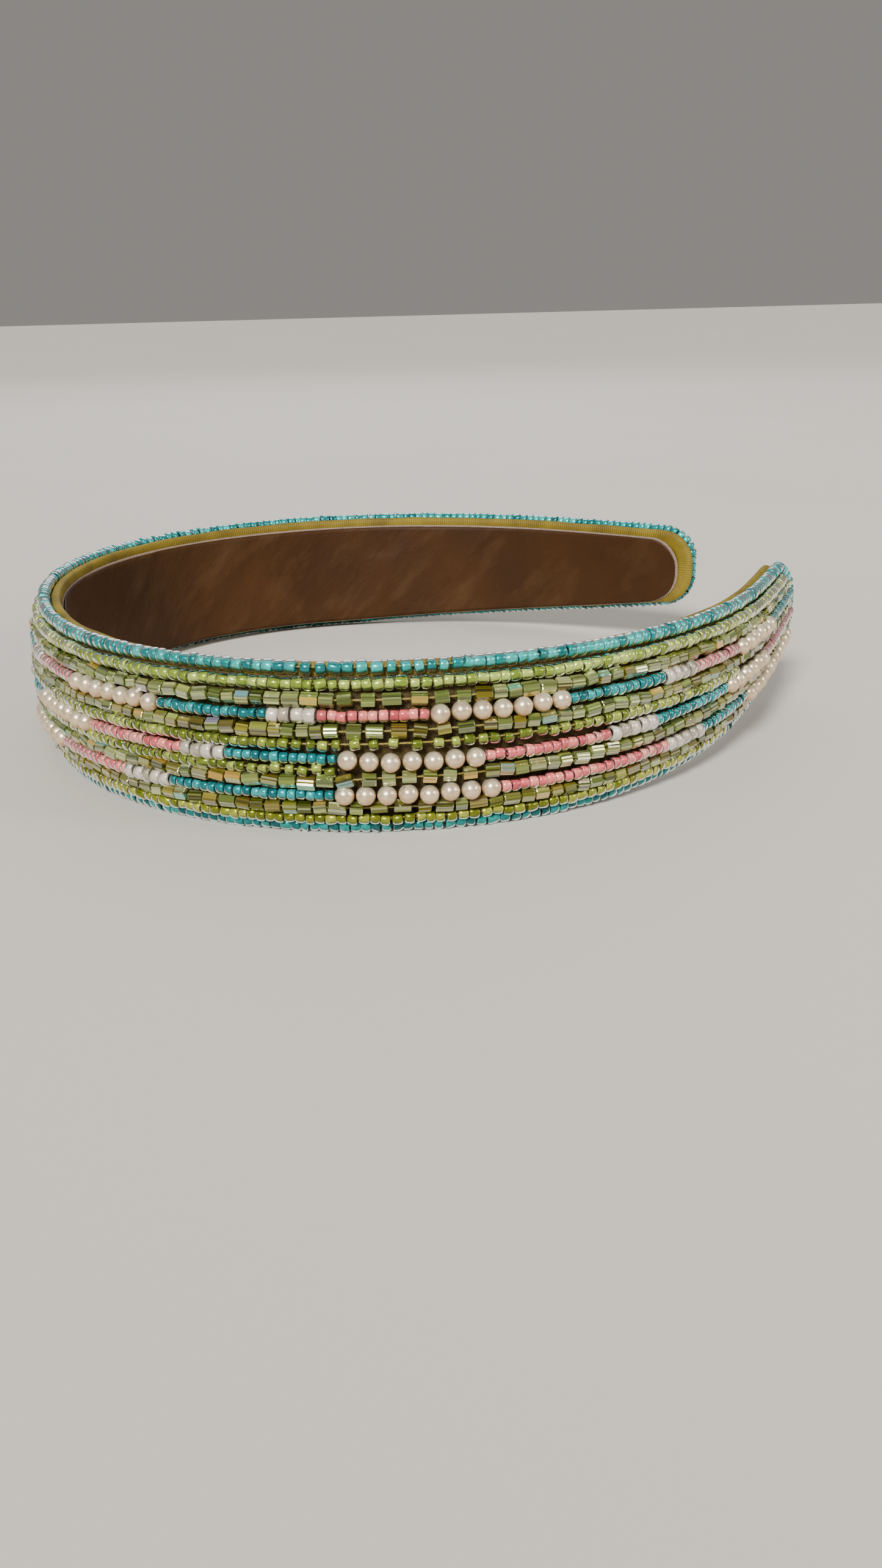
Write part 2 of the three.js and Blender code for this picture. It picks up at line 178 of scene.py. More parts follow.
# Each lining's dark, middle and light colours, and how metallic and how rough it is.
LININGS = {
    "teal_lining": ((0.0, 0.11, 0.125), (0.003, 0.27, 0.28), (0.05, 0.48, 0.47), 0.4, 0.3),
    "lime_lining": ((0.19, 0.24, 0.035), (0.34, 0.4, 0.09), (0.58, 0.62, 0.26), 0.4, 0.3),
    "green_lining": ((0.1, 0.12, 0.016), (0.21, 0.24, 0.045), (0.46, 0.49, 0.17), 0.35, 0.28),
    "gold_green_lining": ((0.13, 0.13, 0.01), (0.26, 0.25, 0.03), (0.5, 0.47, 0.13), 0.4, 0.28),
    "deep_teal_lining": ((0.0, 0.07, 0.08), (0.0, 0.14, 0.15), (0.02, 0.32, 0.32), 0.3, 0.28),
    "milky_white_lining": ((0.34, 0.3, 0.24), (0.47, 0.43, 0.36), (0.66, 0.63, 0.56), 0.25, 0.3),
    "pink_lining": ((0.42, 0.09, 0.12), (0.63, 0.22, 0.24), (0.76, 0.41, 0.36), 0.2, 0.3),
    "stripe_teal_lining": ((0.0, 0.09, 0.11), (0.0, 0.2, 0.22), (0.04, 0.38, 0.4), 0.3, 0.28),
}
GLASS_PAIRS = {
    "top_teal": ("clear_bead_glass", "teal_lining"),
    "lime": ("lime_bead_glass", "lime_lining"),
    "green": ("green_bead_glass", "green_lining"),
    "short_green": ("green_bead_glass", "green_lining"),
    "gold_green": ("green_bead_glass", "gold_green_lining"),
    "bottom_teal": ("deep_teal_bead_glass", "deep_teal_lining"),
    "white": ("milky_white_glass", "milky_white_lining"),
    "pink": ("pink_bead_glass", "pink_lining"),
    "teal": ("stripe_teal_glass", "stripe_teal_lining"),
}

# ---- hex-cut beads ----
HEX_RADIUS = 1.05
HEX_HOLE = 0.36
HEX_LENGTHS = (1.85, 2.0, 2.15, 2.4, 2.6)
HEX_SPARSE = (76, 96)
SIDE_STRIPS = 4
FACETS = 6 * SIDE_STRIPS  # strips round a hex-cut bead, which carry its painted lengthwise streaks of glint and shade
SAGE = [(0.2, 0.26, 0.055), (0.27, 0.33, 0.09), (0.15, 0.2, 0.035), (0.31, 0.36, 0.12),
        (0.25, 0.26, 0.045)]
OLIVE = [(0.17, 0.14, 0.01), (0.24, 0.21, 0.02), (0.15, 0.16, 0.013), (0.27, 0.22, 0.03)]
# Colours of the iridescent coating's flash: the coating is real, but its coloured reflection is
# painted into the strips.
FLASHES = [(0.85, 0.55, 0.05), (0.12, 0.6, 0.45), (0.7, 0.32, 0.36), (0.8, 0.46, 0.08),
           (0.55, 0.68, 0.1), (0.44, 0.38, 0.52), (0.6, 0.66, 0.34), (0.2, 0.52, 0.58)]
# The pale colour of the painted glints: strips that stand in for facets catching the light.
PAINTED_GLINT = np.array([0.5, 0.54, 0.26])
# Each row's share of olive beads among the sage ones.
HEX_ROWS = {"upper_hex_row": 0.1, "second_hex_row": 0.3, "third_hex_row": 0.4,
            "lower_hex_row": 0.7}

# ---- threads ----
THREAD_RADIUS = 0.15
STITCH_RADIUS = 0.1
LOOP_RADIUS = 0.055
STRAND_SIDES = 6

# ---- the layers ----
# How far each layer stays inside the cloth's edge at the top, the bottom and the tips, and the
# radius of its corners.
LAYER_INSETS = {
    "spring_core_strip": (2.6, 2.6, 2.6, 4.4),
    "foam_pad": (2.2, 2.2, 2.2, 4.8),
    "backing_cloth_cover": (1.7, 1.7, 1.7, 5.3),
    "lining_base_cloth": (1.6, 0.3, 2.9, 6.6),
    "leather_lining_skin": (1.9, 0.45, 3.5, 6.2),
}
LAYER_ROWS = 390
LAYER_COLUMNS = 28
CORE_OUT = -0.95
CORE_THICKNESS = 0.8
FOAM_DROP = CLOTH_DROP + 0.6
FOAM_UNDERSIDE = -0.75
BACKING_THICKNESS = 0.3
BASE_OUT = -2.42
BASE_THICKNESS = 0.2
LEATHER_OUT = -2.66
LEATHER_THICKNESS = 0.32
CREASE_DEPTH = 0.26
# The binding's outside, as (in from the edge, out from the middle surface).
BINDING_OUTSIDE = [(3.4, -2.36), (2.4, -2.38), (1.3, -2.4), (0.7, -2.38), (0.3, -2.2),
                   (0.06, -1.9), (0.0, -1.5), (0.1, -1.15), (0.35, -0.82), (0.8, -0.5),
                   (1.3, -0.15), (1.9, 0.1)]
BINDING_CLOTH = 0.3
BINDING_STEPS = 430
BINDING_FOLD = -1.3  # out from the middle surface: the fold between the two faces

# ---- the lining's cloth simulation ----
SIM_SCALE = 0.1  # Blender units to a millimetre: a hundred times larger than life
SIM_ROWS = 230
SIM_COLUMNS = 14
SIM_FRAMES = 20
SIM_STRETCH = 0.012  # how much too long the sheet is for its bed
MOST_BUCKLE = 0.3

# ---- the light, in metres ----
SUN_DIRECTION = (0.42, 0.62, -0.62)
SUN_ANGLE = 0.27
LIGHT_TARGET = (0, 0, 0.01)
# Each soft light's place, size, power and colour.
SOFT_LIGHTS = {
    "side_light": ((0.7, -0.5, 0.45), 0.3, 3.0, (1.0, 0.93, 0.84)),
    "back_light": ((0.15, 0.8, 0.75), 1.0, 3.0, (0.96, 0.98, 1.0)),
}
SKY_COLOUR = (0.88, 0.84, 0.78, 1.0)
SKY_STRENGTH = 0.3
FLOOR_HALF = 6.0

# ---- the camera, from the crown's middle surface ----
CAMERA_PLACE = (2.75, -241.1, 73.5)
CAMERA_LENS = 30.37
CAMERA_PITCH = 0.352
CAMERA_YAW = 0.278
CAMERA_ROLL = -0.023

lining_low, lining_high = (np.array(corner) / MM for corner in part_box("leather_lining"))
CROWN_X = lining_low[0] + LEATHER_OUTER - CROWN_FACET
CENTRE_Y = (lining_low[1] + lining_high[1]) / 2
rng = np.random.default_rng(SEED)


# ==== the band's surface
def bent_arm(step=0.05):
    """Places and turning angles along one arm, from the crown."""
    arcs = np.arange(0.0, ARM_LENGTH + 20.0, step)
    knots = [*(i * BEND_STEP for i in range(len(BEND_RADII))), STRAIGHT_ARC, STRAIGHT_ARC + 100]
    curve = [*(1 / radius for radius in BEND_RADII), 0.0, 0.0]
    bend = np.interp(arcs + step / 2, knots, curve)
    turn = np.concatenate([[0.0], np.cumsum(bend * step)[:-1]])
    middle = turn + bend * step / 2
    x = np.concatenate([[0.0], np.cumsum(np.sin(middle) * step)[:-1]])
    y = np.concatenate([[0.0], np.cumsum(np.cos(middle) * step)[:-1]])
    return arcs, x, y, turn


ARM = bent_arm()


def band_frame(arc):
    """The middle surface's place, its direction towards the -Y tip, and its outward direction."""
    arc = np.asarray(arc, float)
    side = np.where(arc < 0, 1.0, -1.0)
    x, y, turn = (np.interp(np.abs(arc), ARM[0], ARM[k]) for k in (1, 2, 3))
    place = np.stack([x + CROWN_X, side * y + CENTRE_Y, np.zeros_like(x)], -1)
    along = np.stack([-side * np.sin(turn), -np.cos(turn), np.zeros_like(x)], -1)
    outward = np.stack([-np.cos(turn), side * np.sin(turn), np.zeros_like(x)], -1)
    return place, along, outward


def band_point(arc, out, z):
    """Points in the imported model's frame, in millimetres."""
    place, _, outward = band_frame(arc)
    point = place + outward * np.asarray(out, float)[..., None]
    point[..., 2] = z
    return point


def smooth(low, high, value):
    """Rises softly from 0 to 1 between low and high."""
    t = np.clip((value - low) / (high - low), 0.0, 1.0)
    return t * t * (3 - 2 * t)


def lower_edge(arc):
    risen = (np.abs(arc) - FLAT_ARC) / (ARM_LENGTH - TIP_CORNER - FLAT_ARC)
    return TIP_RISE * np.clip(risen, 0.0, 1.0) ** RISE_POWER


def bead_height(arc, z):
    """How far out a bead's centre lies: the padded middle stands above the edges."""
    low = lower_edge(arc)
    half = (BAND_WIDTH - low) / 2
    across = np.clip(np.abs(z - low - half) / half, 0.0, 1.0)
    return BEAD_BASE + DOME_HEIGHT * (1 - across**DOME_POWER)


def row_point(row, arc):
    """A row's height and how far out its beads' centres lie."""
    crown, front, tip = ROW_PLACES[row]
    body = crown + (front - crown) * smooth(SHORT_ROW_END - 4, SHORT_ROW_END + 8, arc)
    share = body + (tip - body) * smooth(CONVERGE_ARC, ARM_LENGTH, np.abs(arc))
    low = lower_edge(arc) + EDGE_ROW_HEIGHT
    high = BAND_WIDTH - EDGE_ROW_HEIGHT
    z = high + (low - high) * share
    sink = EDGE_ROW_SINK if crown in (0.0, 1.0) else 0.0
    return z, bead_height(arc, z) - sink


def row_end(row):
    """Where a row stops, clear of the beads that turn round the tip."""
    z, _ = row_point(row, np.array(ARM_LENGTH))
    from_edge = min(BAND_WIDTH - EDGE_ROW_HEIGHT - z, z - TIP_RISE - EDGE_ROW_HEIGHT)
    into_turn = max(0.0, ROW_TURN - from_edge)
    clear = ROW_TURN - ROW_SPACING
    return ARM_LENGTH - TIP_ROW_INSET - ROW_TURN + math.sqrt(max(0.0, clear**2 - into_turn**2))


# ==== mesh building
def make_object(name, points, faces, material):
    """An object from points in millimetres and a list of arrays of faces."""
    mesh = bpy.data.meshes.new(name)
    points = np.asarray(points, float) * MM
    loops = np.concatenate([block.ravel() for block in faces])
    sizes = np.concatenate([np.full(len(block), block.shape[1]) for block in faces])
    starts = np.concatenate([[0], np.cumsum(sizes)[:-1]])
    mesh.vertices.add(len(points))
    mesh.vertices.foreach_set("co", points.astype(np.float32).ravel())
    mesh.loops.add(len(loops))
    mesh.loops.foreach_set("vertex_index", loops.astype(np.int32))
    mesh.polygons.add(len(sizes))
    mesh.polygons.foreach_set("loop_start", starts.astype(np.int32))
    mesh.polygons.foreach_set("loop_total", sizes.astype(np.int32))
    mesh.polygons.foreach_set("use_smooth", np.ones(len(sizes), bool))
    mesh.update(calc_edges=True)
    mesh.validate()
    mesh.materials.append(material)
    piece = bpy.data.objects.new(name, mesh)
    bpy.context.scene.collection.objects.link(piece)
    return piece


def settle(piece, finish, *nodes):
    """Rides the piece on the headband's one body and hides the CAD parts it stands for. The finish
    is not used.
    """
    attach(piece, "root")
    if nodes:
        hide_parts(*nodes)
    return piece


def fix_normals(piece):
    work = bmesh.new()
    work.from_mesh(piece.data)
    bmesh.ops.recalc_face_normals(work, faces=work.faces)
    work.to_mesh(piece.data)
    work.free()


def grid_faces(rows, columns, wrap_rows=False, wrap_columns=False):
    """Quads over a grid of points, rows by columns."""
    r = np.arange(rows if wrap_rows else rows - 1)
    c = np.arange(columns if wrap_columns else columns - 1)
    r, c = (a.ravel() for a in np.meshgrid(r, c, indexing="ij"))
    r2 = (r + 1) % rows
    c2 = (c + 1) % columns
    return np.stack([r * columns + c, r * columns + c2, r2 * columns + c2, r2 * columns + c], -1)


def lathe(profile, sides):
    """A closed ring-shaped solid: a profile of (along, radius) points turned about the thread.

    The points are (along, across, up), and the profile closes on itself.
    """
    profile = np.asarray(profile, float)
    angle = np.arange(sides) * 2 * math.pi / sides
    points = np.empty((len(profile), sides, 3))
    points[..., 0] = profile[:, :1]
    points[..., 1] = profile[:, 1:] * np.cos(angle)
    points[..., 2] = profile[:, 1:] * np.sin(angle)
    return points.reshape(-1, 3), grid_faces(len(profile), sides, True, True)


def ball(rings, sides):
    """A unit ball with its poles on the thread: points, quads and the triangles at the poles."""
    angle = np.arange(sides) * 2 * math.pi / sides
    polar = (np.arange(rings) + 1) * math.pi / (rings + 1)
    points = np.empty((rings, sides, 3))
    points[..., 0] = -np.cos(polar)[:, None]
    points[..., 1] = np.sin(polar)[:, None] * np.cos(angle)
    points[..., 2] = np.sin(polar)[:, None] * np.sin(angle)
    points = np.concatenate([points.reshape(-1, 3), [[-1, 0, 0], [1, 0, 0]]])
    quads = grid_faces(rings, sides, False, True)
    k = np.arange(sides)
    k2 = (k + 1) % sides
    first, last = rings * sides, rings * sides + 1
    low = np.stack([np.full(sides, first), k2, k], -1)
    top = (rings - 1) * sides
    high = np.stack([np.full(sides, last), top + k, top + k2], -1)
    return points, quads, np.concatenate([low, high])


class Beads:
    """Gathers placed copies of bead shapes into one mesh."""

    def __init__(self):
        self.points, self.blocks, self.count = [], [], 0

    def add(self, shape, arc, out, z, scale, lean):
        """lean turns the bead about the outward axis, the up axis and the thread."""
        points, *blocks = shape
        place, along, outward = (v[0] for v in band_frame(np.array([arc])))
        place = place + outward * out + np.array([0, 0, z])
        axes = np.stack([along, outward, [0.0, 0.0, 1.0]])
        swing, nod, roll = lean
        turn = Matrix.Rotation(swing, 3, "Y") @ Matrix.Rotation(nod, 3, "Z")
        turn = np.array(turn @ Matrix.Rotation(roll, 3, "X"))
        self.points.append((points * np.asarray(scale)) @ turn.T @ axes + place)
        self.blocks.extend(block + self.count for block in blocks)
        self.count += len(points)

    def build(self, name, material):
        corners = {block.shape[1] for block in self.blocks}
        faces = [np.concatenate([b for b in self.blocks if b.shape[1] == count])
                 for count in sorted(corners, reverse=True)]
        return make_object(name, np.concatenate(self.points), faces, material)


# ==== materials
class Finish:
    """A material being made. Each method that adds shader nodes returns the socket they end in."""

    def __init__(self, name, settings):
        self.material = bpy.data.materials.new(name)
        self.material.use_nodes = True
        self.nodes = self.material.node_tree.nodes
        self.shader = self.nodes["Principled BSDF"]
        self.fill(self.shader, settings)

    def fill(self, node, inputs):
        """Sets each named input to a value, or links it to a socket."""
        for name, value in inputs.items():
            if isinstance(value, bpy.types.NodeSocket):
                self.material.node_tree.links.new(value, node.inputs[name])
            else:
                node.inputs[name].default_value = value

    def colour(self, socket):
        self.fill(self.shader, {"Base Color": socket})

    def node(self, kind, inputs, **options):
        """Adds one shader node and returns its outputs."""
        node = self.nodes.new("ShaderNode" + kind)
        for name, value in options.items():
            setattr(node, name, value)
        self.fill(node, inputs)
        return node.outputs

    def place(self):
        return self.node("TexCoord", {})["Object"]

    def band_map(self):
        """The place along the band and across it, in metres."""
        return self.node("UVMap", {}, uv_map="band")["UV"]

    def per_bead(self):
        """A random number for each separate bead of a mesh."""
        return self.node("NewGeometry", {})["Random Per Island"]

    def noise(self, vector, scale, detail=3.0, roughness=0.5):
        settings = {"Vector": vector, "Scale": scale, "Detail": detail, "Roughness": roughness}
        return self.node("TexNoise", settings)["Fac"]

    def calculate(self, operation, *inputs):
        return self.node("Math", dict(enumerate(inputs)), operation=operation)[0]

    def mix(self, factor, first, second):
        return self.node("Mix", {"Factor": factor, "A": first, "B": second})["Result"]

    def blend(self, kind, factor, first, second):
        inputs = {"Factor": factor, "A": first, "B": second}
        return self.node("Mix", inputs, data_type="RGBA", blend_type=kind)["Result"]

    def ramp(self, factor, stops):
        """Turns a number into a colour, by (number, colour) stops."""
        node = self.nodes.new("ShaderNodeValToRGB")
        elements = node.color_ramp.elements
        while len(elements) < len(stops):
            elements.new(0.5)
        for element, (place, colour) in zip(elements, stops, strict=True):
            element.position = place
            element.color = (*colour, 1.0)
        self.fill(node, {"Fac": factor})
        return node.outputs["Color"]

    def bump(self, height, strength, distance):
        settings = {"Height": height, "Strength": strength, "Distance": distance}
        self.fill(self.shader, {"Normal": self.node("Bump", settings)["Normal"]})


def clear_glass(name, tint, roughness=CLEAR_ROUGHNESS):
    """The glass of lined beads, a little deeper in some beads than in others."""
    finish = Finish(name, {
        "Transmission Weight": 1.0, "Roughness": roughness, "IOR": BEAD_IOR,
        "Coat Weight": 0.35, "Coat Roughness": 0.05, "Coat IOR": 1.35})
    deeper = tuple(c * 0.8 for c in tint)
    finish.colour(finish.ramp(finish.per_bead(), [(0.0, deeper), (1.0, tint)]))
    return finish.material


def lined_core(name, dark, middle, light, metallic, roughness):
    """The glossy lining inside a clear bead, which fills the glass with colour."""
    finish = Finish(name, {
        "Metallic": metallic, "Roughness": roughness,
        "Coat Weight": 0.45, "Coat Roughness": 0.09, "Coat IOR": 1.45})
    mottle = finish.noise(finish.place(), 1100.0, 4.0, 0.65)
    tone = finish.mix(0.4, finish.per_bead(), mottle)
    finish.colour(finish.ramp(tone, [(0.16, dark), (0.45, middle), (0.8, light)]))
    return finish.material


def hex_glass():
    """Translucent pale olive glass; its strip colours, stored as facet_tint, hold painted glints,
    painted shade and the coating's painted rainbow reflections.
    """
    finish = Finish("hex_cut_glass", {
        "Roughness": 0.16, "Metallic": 0.3, "Transmission Weight": 0.25, "IOR": 1.5,
        "Coat Weight": 0.65, "Coat Roughness": 0.07, "Coat IOR": 1.5})
    finish.colour(finish.node("Attribute", {}, attribute_name="facet_tint")["Color"])
    return finish.material


def pearl_coat():
    """Cream nacre with scuffs, fine wrinkles and a few dark specks; its colour is painted paler on
    top and warm tan underneath: painted light and shade, with a painted warm reflection from below.
    """
    finish = Finish("pearl_coat", {
        "Metallic": 0.6, "Roughness": 0.3,
        "Coat Weight": 1.0, "Coat Roughness": 0.12, "Coat IOR": 1.55})
    place = finish.place()
    # Painted light and shade: the colour follows which way the surface faces, pale cream on top and
    # dark warm tan underneath, which is a painted reflection of a warm surface below.
    normal = finish.node("NewGeometry", {})["Normal"]
    upward = finish.node("SeparateXYZ", {"Vector": normal})["Z"]
    painted_light_by_facing = {"Value": upward, "From Min": -0.95, "From Max": 0.75}
    body = finish.ramp(finish.node("MapRange", painted_light_by_facing)["Result"],
                       [(0.0, (0.6, 0.29, 0.12)), (0.4, (0.84, 0.62, 0.38)),
                        (1.0, (0.97, 0.86, 0.65))])
    scuffs = finish.ramp(finish.noise(place, 700.0, 3.0),
                         [(0.34, (0.76, 0.71, 0.64)), (0.56, (1.0, 1.0, 1.0))])
    specks = finish.ramp(finish.noise(place, 1500.0, 1.0),
                         [(0.215, (0.12, 0.08, 0.05)), (0.235, (1.0, 1.0, 1.0))])
    scuffed = finish.blend("MULTIPLY", 0.9, body, scuffs)
    finish.colour(finish.blend("MULTIPLY", 0.9, scuffed, specks))
    finish.bump(finish.noise(place, 2600.0, 4.0, 0.6), 0.3, 0.00012)
    return finish.material


def backing_weave():
    """A coarse plain weave: two sets of slubby threads, along the band and across it."""
    finish = Finish("backing_weave", {
        "Roughness": 0.85, "Sheen Weight": 0.08, "Sheen Roughness": 0.5})
    axes = finish.node("SeparateXYZ", {"Vector": finish.band_map()})

    def threads(axis, per_metre):
        turns = finish.calculate("MULTIPLY", axes[axis], per_metre * 2 * math.pi)
        return finish.calculate("SINE", turns)

    crossing = finish.calculate("MULTIPLY", threads("X", 2700.0), threads("Y", 2900.0))
    weave = finish.calculate("MULTIPLY_ADD", crossing, 0.5, 0.5)
    slubs = finish.noise(finish.place(), 900.0, 6.0, 0.7)
    cloth = finish.mix(0.52, weave, slubs)
    stops = [(0.2, (0.006, 0.003, 0.0007)), (0.42, (0.024, 0.014, 0.003)),
             (0.75, (0.15, 0.1, 0.014))]
    finish.colour(finish.ramp(cloth, stops))
    finish.bump(cloth, 0.8, 0.00012)
    return finish.material


def edge_satin():
    """Mustard-olive sateen with fine ribs across the binding."""
    finish = Finish("edge_satin_cloth", {
        "Roughness": 0.6, "Sheen Weight": 0.12, "Sheen Roughness": 0.4,
        "Sheen Tint": (0.8, 0.65, 0.1, 1.0)})
    stretch = {"Vector": finish.band_map(), "Scale": (1.0, 0.12, 1.0)}
    rib_settings = {"Vector": finish.node("Mapping", stretch)["Vector"], "Scale": 620.0,
                    "Distortion": 1.6, "Detail": 2.0}
    ribs = finish.node("TexWave", rib_settings, wave_type="BANDS", bands_direction="X")["Fac"]
    body = finish.ramp(finish.noise(finish.place(), 160.0, 4.0),
                       [(0.3, (0.15, 0.1, 0.0015)), (0.5, (0.23, 0.16, 0.003)),
                        (0.72, (0.32, 0.235, 0.007))])
    shade = finish.ramp(ribs, [(0.0, (0.5, 0.48, 0.42)), (0.6, (1, 1, 1))])
    finish.colour(finish.blend("MULTIPLY", 0.75, body, shade))
    finish.bump(ribs, 0.6, 0.00012)
    return finish.material


def lining_leather():
    """Dark brown faux leather: a fine grain, soft creases, and a paler painted sheen along the
    slanted creases, where the rubbed, smoother surface catches the light.
    """
    finish = Finish("lining_leather_skin", {"Specular IOR Level": 0.25})
    place = finish.place()
    broad = finish.noise(place, 45.0, 4.0, 0.5)
    body = finish.ramp(broad, [(0.3, (0.036, 0.0125, 0.0012)), (0.55, (0.05, 0.0175, 0.0018)),
                               (0.8, (0.066, 0.025, 0.0035))])
    slant = {"Vector": finish.band_map(), "Rotation": (0.0, 0.0, -0.8),
             "Scale": (1.0, 0.36, 1.0)}
    slanted = finish.node("Mapping", slant, vector_type="TEXTURE")["Vector"]
    # Slanted noise that shapes the creases and places a painted sheen: paler colour is added where
    # the rubbed surface would catch the light.
    crease_sheen = finish.noise(slanted, 48.0, 8.0, 0.68)
    painted_sheen = finish.ramp(crease_sheen, [(0.5, (0.0, 0.0, 0.0)), (0.78, (0.032, 0.02, 0.009))])
    finish.colour(finish.blend("ADD", 1.0, body, painted_sheen))
    rough = finish.node("MapRange", {"Value": broad, "To Min": 0.68, "To Max": 0.5})["Result"]
    finish.fill(finish.shader, {"Roughness": rough})
    cells = {"Vector": place, "Scale": 1500.0}
    grain = finish.node("TexVoronoi", cells, feature="DISTANCE_TO_EDGE")["Distance"]
    finish.bump(finish.calculate("MULTIPLY_ADD", crease_sheen, 12.0, grain), 0.5, 0.0001)
    return finish.material


def plain_finish(name, dark, light, roughness, scale=300.0, depth=0.00005):
    """A matt finish, mottled between two colours."""
    finish = Finish(name, {"Roughness": roughness})
    grain = finish.noise(finish.place(), scale, 4.0)
    finish.colour(finish.ramp(grain, [(0.3, dark), (0.7, light)]))
    finish.bump(grain, 0.4, depth)
    return finish.material


# ==== the layers
def add_band_uv(piece, coordinates):
    """Stores (arc, across) in metres for each point, as the map named band."""
    mesh = piece.data
    layer = mesh.uv_layers.new(name="band")
    index = np.empty(len(mesh.loops), np.int32)
    mesh.loops.foreach_get("vertex_index", index)
    layer.data.foreach_set("uv", (np.asarray(coordinates)[index] * MM).astype(np.float32).ravel())


def layer_piece(name, material, outer, thickness=None, underside=None):
    """A sheet or pad that follows the band, with round corners at its tips.

    outer(arc, z) is how far out its outer face is. It has either a thickness or a flat underside.
    """
    inset_top, inset_bottom, inset_tip, corner = LAYER_INSETS[name]
    end = ARM_LENGTH - inset_tip
    into = corner * (1 - np.cos(np.linspace(0, math.pi / 2, 11)))[:-1]
    middle = np.linspace(-end + corner, end - corner, LAYER_ROWS)
    arcs = np.concatenate([-end + into, middle, (end - into)[::-1]])
    cut = np.clip(corner - (end - np.abs(arcs)), 0, corner)
    rounding = corner - np.sqrt(corner**2 - cut**2)
    low = lower_edge(arcs) + BOTTOM_INSET + inset_bottom + rounding
    high = BAND_WIDTH - TOP_INSET - inset_top - rounding
    z = low[:, None] + (high - low)[:, None] * np.linspace(0, 1, LAYER_COLUMNS)
    arc = np.broadcast_to(arcs[:, None], z.shape)
    face = outer(arc, z)
    inner = face - thickness if underside is None else np.full(z.shape, underside)
    out = np.concatenate([face, inner[:, ::-1]], 1)
    height = np.concatenate([z, z[:, ::-1]], 1)
    along = np.concatenate([arc, arc], 1)
    points = band_point(along, out, height).reshape(-1, 3)
    ring = 2 * LAYER_COLUMNS
    faces = grid_faces(len(arcs), ring, False, True)
    k = np.arange(LAYER_COLUMNS - 1)
    first = np.stack([k, ring - 1 - k, ring - 2 - k, k + 1], -1)
    last = first[:, ::-1] + (len(arcs) - 1) * ring
    piece = make_object(name, points, [np.concatenate([faces, first, last])], material)
    add_band_uv(piece, np.stack([along.ravel(), height.ravel()], -1))
    fix_normals(piece)
    return piece


def running_length(points):
    """How far along a line of points each one lies."""
    return np.concatenate([[0], np.cumsum(np.hypot(*np.diff(points, axis=0).T))])


def binding_path():
    """The way round the band's edge, as (arc, z, inward along arc, inward along z)."""
    straight = ARM_LENGTH - TIP_CORNER
    arcs = np.linspace(-straight, straight, BINDING_STEPS)
    bottom = np.stack([arcs, lower_edge(arcs) + BOTTOM_INSET, 0 * arcs, 0 * arcs + 1], -1)
    top = np.stack([arcs[::-1], 0 * arcs + BAND_WIDTH - TOP_INSET, 0 * arcs, 0 * arcs - 1], -1)
    low = TIP_RISE + BOTTOM_INSET + TIP_CORNER
    high = BAND_WIDTH - TOP_INSET - TIP_CORNER

    def corner(arc, z, start):
        turn = start + np.linspace(0, math.pi / 2, 13)[1:-1]
        c, s = np.cos(turn), np.sin(turn)
        return np.stack([arc + TIP_CORNER * c, z + TIP_CORNER * s, -c, -s], -1)

    def end(side):
        z = np.linspace(low, high, 10)
        rows = np.stack([0 * z + side * ARM_LENGTH, z, 0 * z - side, 0 * z], -1)
        return rows if side > 0 else rows[::-1]

    return np.concatenate([
        bottom, corner(straight, low, -math.pi / 2), end(1), corner(straight, high, 0.0),
        top, corner(-straight, high, math.pi / 2), end(-1), corner(-straight, low, math.pi)])


def binding_section():
    """The folded cloth's outline, as (in from the edge, out from the middle surface)."""
    outside = np.array(BINDING_OUTSIDE)
    step = np.gradient(outside, axis=0)
    inward = np.stack([step[:, 1], -step[:, 0]], -1)
    inward /= np.linalg.norm(inward, axis=1)[:, None]
    inside = outside + inward * BINDING_CLOTH
    return np.concatenate([outside, inside[::-1]])


def edge_binding():
    """The folded cloth that runs right round the band's edge, softly puckered."""
    edge = binding_path()
    section = binding_section()
    travel = running_length(edge[:, :2])
    chance = np.random.default_rng(SEED)
    pucker = sum(
        chance.uniform(0.02, 0.05) * np.sin(travel / chance.uniform(1.2, 6.0) + chance.uniform(0, 6))
        for _ in range(6))[:, None]
    swell = np.where(section[:, 0] > 1.5, 0.35, 1.0)
    w = section[:, 0] - (pucker * swell) * 0.6
    out = section[:, 1] + np.sign(section[:, 1] - BINDING_FOLD) * np.abs(pucker) * 0.4
    arc = edge[:, :1] + edge[:, 2:3] * w
    z = edge[:, 1:2] + edge[:, 3:4] * w
    faces = grid_faces(len(edge), len(section), True, True)
    points = band_point(arc, out, z).reshape(-1, 3)
    piece = make_object("edge_binding_cloth", points, [faces], edge_satin())
    uv = np.stack(np.broadcast_arrays(travel[:, None], running_length(section)[None, :]), -1)
    add_band_uv(piece, uv.reshape(-1, 2))
    fix_normals(piece)
    settle(piece, "edge_satin", "edge_binding")


